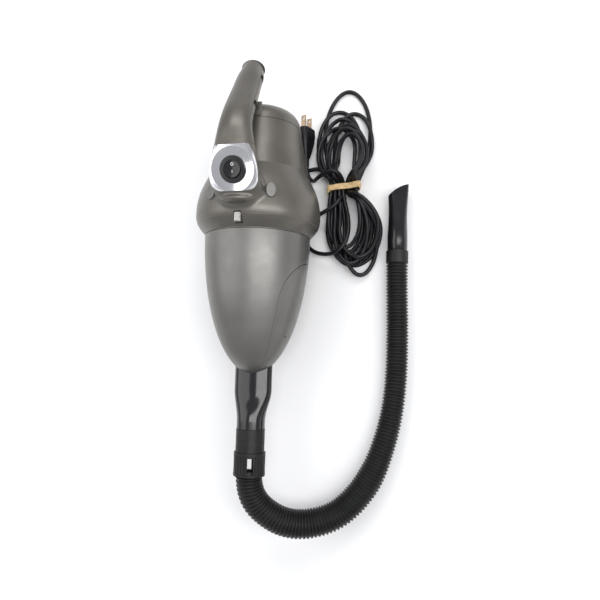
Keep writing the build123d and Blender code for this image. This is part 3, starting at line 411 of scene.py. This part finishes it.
# for each turn: left, right and far edge of its lower lobe, then the same of its upper lobe
TURNS = [
    (70.0, 134.0, -37.0, 62.0, 119.0, 181.0),
    (75.5, 129.0, -32.0, 53.5, 107.0, 155.0),
    (81.0, 124.0, -27.0, 75.0, 122.0, 152.0),
    (69.0, 116.0, -30.0, 58.5, 110.0, 144.0),
    (74.0, 113.0, -22.0, 66.0, 114.0, 136.0),
    (90.0, 131.0, -49.0, 80.0, 117.0, 126.0),
    (71.0, 111.0, -17.0, 55.0, 103.0, 131.0),
    (79.0, 120.0, -36.0, 70.0, 111.0, 128.0),
    (85.0, 133.0, -29.0, 78.0, 114.0, 119.0),
]
LAST_TURN = [
    (86.0, 42.0),
    (79.0, 33.0),
    (69.0, 27.0),
    (57.0, 22.0),
    (46.0, 13.0),
    (41.0, 0.0),
    (43.0, -13.0),
    (52.0, -22.0),
    (64.0, -26.0),
    (77.0, -26.5),
    (89.0, -21.0),
    (95.5, -8.0),
    (96.5, 8.0),
    (94.0, 24.0),
    (90.5, 38.0),
]
TO_PLUG = [
    (50.0, 66.5, 8.6),
    (44.5, 71.0, 9.2),
    (41.8, 77.5, 11.0),
    (41.2, 84.0, 12.6),
]


def lobe(start, end, left, right, reach):
    """Plan points of one lobe, going out at start's side and back at end's, about the tie."""
    depth = reach - BAND_Y
    width = right - left
    sides = [(left, start), (right, end)] if start < end else [(right, start), (left, end)]
    (a, near_a), (b, near_b) = sides
    inward = 1 if a < b else -1
    plan = [
        (near_a + (a - near_a) * 0.42, 0.17),
        (near_a + (a - near_a) * 0.78, 0.31),
        (a, 0.48),
        (a, 0.66),
        (a + inward * 0.09 * width, 0.84),
        (a + inward * 0.28 * width, 0.98),
        (a + inward * 0.50 * width, 1.03),
        (a + inward * 0.72 * width, 0.98),
        (b - inward * 0.09 * width, 0.84),
        (b, 0.66),
        (b, 0.48),
        (near_b + (b - near_b) * 0.78, 0.31),
        (near_b + (b - near_b) * 0.42, 0.17),
    ]
    return [(x, BAND_Y + depth * share) for x, share in plan]


def through_tie(x, height, way):
    """A strand that runs straight through the tie at this height, up the plan (1) or down it (-1)."""
    return [(x, BAND_Y + way * step, height) for step in (-TIE_HALF, 0.0, TIE_HALF)]


plan = [(64.0, 77.0, None), (71.0, 68.0, None)]
for number, (low_left, low_right, low_end, top_left, top_right, top_end) in enumerate(TURNS):
    left_slot = TIE_MIDDLE - TIE_REACH + COLUMN * (number % 3)
    right_slot = TIE_MIDDLE + TIE_REACH - COLUMN * (number % 3)
    next_slot = TIE_MIDDLE
    if number + 1 < len(TURNS):
        next_slot = TIE_MIDDLE - TIE_REACH + COLUMN * ((number + 1) % 3)
    height = LAYER_Z[number // 3]
    plan += through_tie(left_slot, height, -1)
    plan += [(x, y, None) for x, y in lobe(left_slot, right_slot, low_left, low_right, low_end)]
    plan += through_tie(right_slot, height, 1)
    plan += [(x, y, None) for x, y in lobe(right_slot, next_slot, top_left, top_right, top_end)]
plan += through_tie(TIE_MIDDLE, LAYER_Z[1], -1)
plan += [(x, y, None) for x, y in LAST_TURN]
plan += through_tie(TIE_MIDDLE, LAYER_Z[2], 1)
plan += [(85.0, 71.0, None), (77.0, 74.0, None), (67.5, 71.5, None), (58.0, 67.0, None)]


def gap_to(point, a, b):
    """Plan distance from a point to the run a-b, and the height of the nearest place on it."""
    run = (b[0] - a[0], b[1] - a[1])
    square = run[0] ** 2 + run[1] ** 2
    share = 0.0 if square == 0 else ((point[0] - a[0]) * run[0] + (point[1] - a[1]) * run[1]) / square
    share = min(1.0, max(0.0, share))
    apart = math.hypot(point[0] - a[0] - share * run[0], point[1] - a[1] - share * run[1])
    return apart, a[2] + (b[2] - a[2]) * share


# each turn is laid on the turns before it, and climbs and falls gently where it crosses them
laid = list(LEAD)
TURN_POINTS = 32
LAY_EASE = 1.04
STEEPEST = 0.28
for first in range(0, len(plan), TURN_POINTS):
    turn = []
    for x, y, fixed in plan[first : first + TURN_POINTS]:
        height = CORD_Z
        for a, b in zip(laid[:-1], laid[1:]):
            apart, under = gap_to((x, y), a, b)
            if apart < CORD:
                height = max(height, under + math.sqrt(CORD**2 - apart**2) * LAY_EASE)
        turn.append([x, y, fixed or height])
    for _ in range(3):
        for i in range(1, len(turn)):
            for j, k in ((i, i - 1), (len(turn) - 1 - i, len(turn) - i)):
                run = math.hypot(turn[j][0] - turn[k][0], turn[j][1] - turn[k][1])
                if abs(turn[j][1] - BAND_Y) > TIE_HALF + 1:
                    turn[j][2] = max(turn[j][2], turn[k][2] - STEEPEST * run)
    laid += [tuple(p) for p in turn]
route = laid + TO_PLUG
cord = add_spline("power_cord", route, CORD / 2, MATERIALS["cord_black"])
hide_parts("cord_lead", "cord_loop", "cord_tail", "cord_hank")
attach(cord, "housing")

# ---------------------------------------------------------------- rubber band round the hank
BAND_CENTRE = (TIE_MIDDLE, 9.2)
BAND_HALF = (19.2, 9.0)
BAND_STEPS = 96
vertices = []
faces = []
for wrap in range(2):
    offset = len(vertices)
    for i in range(BAND_STEPS):
        angle = 2 * math.pi * i / BAND_STEPS
        wide = math.copysign(abs(math.cos(angle)) ** 0.42, math.cos(angle))
        high = math.copysign(abs(math.sin(angle)) ** 0.42, math.sin(angle))
        middle = BAND_Y + 3.0 * math.cos(angle) + (1.4 if wrap else -1.4) * math.cos(angle * 2 + 0.6)
        half = 3.0 + 0.7 * math.sin(3 * angle + wrap)
        swell = 0.25 * wrap + 0.25 * math.sin(5 * angle + 2 * wrap)
        for across, out in ((-1, 0.0), (-1, 0.75), (-0.5, 1.0), (0.5, 1.0), (1, 0.75), (1, 0.0)):
            grow = out + swell
            x = BAND_CENTRE[0] + (BAND_HALF[0] + grow) * wide
            z = max(0.1, BAND_CENTRE[1] + (BAND_HALF[1] + grow) * high)
            vertices.append(Vector((x, middle + half * across, z)))
    for i in range(BAND_STEPS):
        j = (i + 1) % BAND_STEPS
        for k in range(6):
            m = (k + 1) % 6
            faces.append((offset + i * 6 + k, offset + j * 6 + k, offset + j * 6 + m, offset + i * 6 + m))
band = add_mesh("tie_band", vertices, faces, MATERIALS["band_tan"])
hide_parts("rubber_band")
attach(band, "housing")

# ---------------------------------------------------------------- marks on the switch
def printed_mark(name, loops):
    """White print on the rocker's top: a closed band between two plan loops of equal length."""
    host = nodes["rocker"]
    inverse = host.matrix_world.inverted()
    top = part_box("rocker")[1][2] + 0.01
    count = len(loops[0])
    vertices = []
    for lift in (0.12, -0.10):
        for loop in loops:
            for x, y in loop:
                start = inverse @ Vector((x * MM, y * MM, top))
                hit, spot, _, _ = host.ray_cast(start, inverse.to_3x3() @ Vector((0, 0, -1)))
                spot = host.matrix_world @ spot if hit else Vector((x * MM, y * MM, top - 0.01))
                vertices.append(Vector((x, y, spot.z / MM + lift)))
    faces = []
    for i in range(count):
        j = (i + 1) % count
        rings = [0, count, 3 * count, 2 * count]
        for a, b in zip(rings, rings[1:] + rings[:1]):
            faces.append((a + i, a + j, b + j, b + i))
    mark = add_mesh(name, vertices, faces, MATERIALS["mark_white"], smooth=False)
    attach(mark, "rocker")
    return mark


def circle(x, y, radius, steps=32):
    """Plan points of a circle."""
    turns = [2 * math.pi * i / steps for i in range(steps)]
    return [(x + radius * math.cos(t), y + radius * math.sin(t)) for t in turns]


def bar(x, y, width, length, steps=8):
    """Plan points of a slim bar with rounded ends."""
    turns = [2 * math.pi * (i + 0.5) / (2 * steps) for i in range(2 * steps)]
    half = (length - width) / 2
    radius = width / 2
    return [
        (x + radius * math.cos(t), y + math.copysign(half, math.sin(t)) + radius * math.sin(t)) for t in turns
    ]


printed_mark("mark_off", (circle(0.0, 41.2, 1.55), circle(0.0, 41.2, 1.1)))
printed_mark("mark_on", (bar(0.0, 34.0, 0.55, 2.6), bar(0.0, 34.0, 0.12, 2.1)))

# ---------------------------------------------------------------- stage
floor_material = surface(
    "floor_white", (0.86, 0.86, 0.86), (0.88, 0.88, 0.88), (0.6, 0.7),
    0.0, 3.0, 90.0, 0.00001,
)
FLOOR_HALF = 3000
corners = [(-1, -1), (1, -1), (1, 1), (-1, 1)]
floor_points = [(x * FLOOR_HALF, y * FLOOR_HALF, 0) for x, y in corners]
floor = add_mesh("floor", floor_points, [(0, 1, 2, 3)], floor_material)

world = bpy.data.worlds.new("world")
bpy.context.scene.world = world
world.use_nodes = True
sky = world.node_tree.nodes["Background"]
sky.inputs["Color"].default_value = (0.95, 0.96, 1.0, 1)
sky.inputs["Strength"].default_value = 0.55


def softbox(name, place, aim, width, height, watts):
    """A rectangular studio light at a place, turned to a point; both in metres."""
    data = bpy.data.lights.new(name, "AREA")
    data.shape = "RECTANGLE"
    data.size = width
    data.size_y = height
    data.energy = watts
    lamp = bpy.data.objects.new(name, data)
    bpy.context.scene.collection.objects.link(lamp)
    lamp.location = place
    lamp.rotation_euler = (Vector(aim) - Vector(place)).to_track_quat("-Z", "Y").to_euler()


softbox("key", (0.9, -0.1, 1.5), (0.05, -0.05, 0.0), 0.7, 1.8, 20)
softbox("fill", (-1.3, 0.1, 1.3), (0.0, 0.0, 0.0), 1.2, 1.8, 11)
softbox("top", (0.1, 1.4, 1.4), (0.05, 0.0, 0.0), 1.6, 0.6, 14)
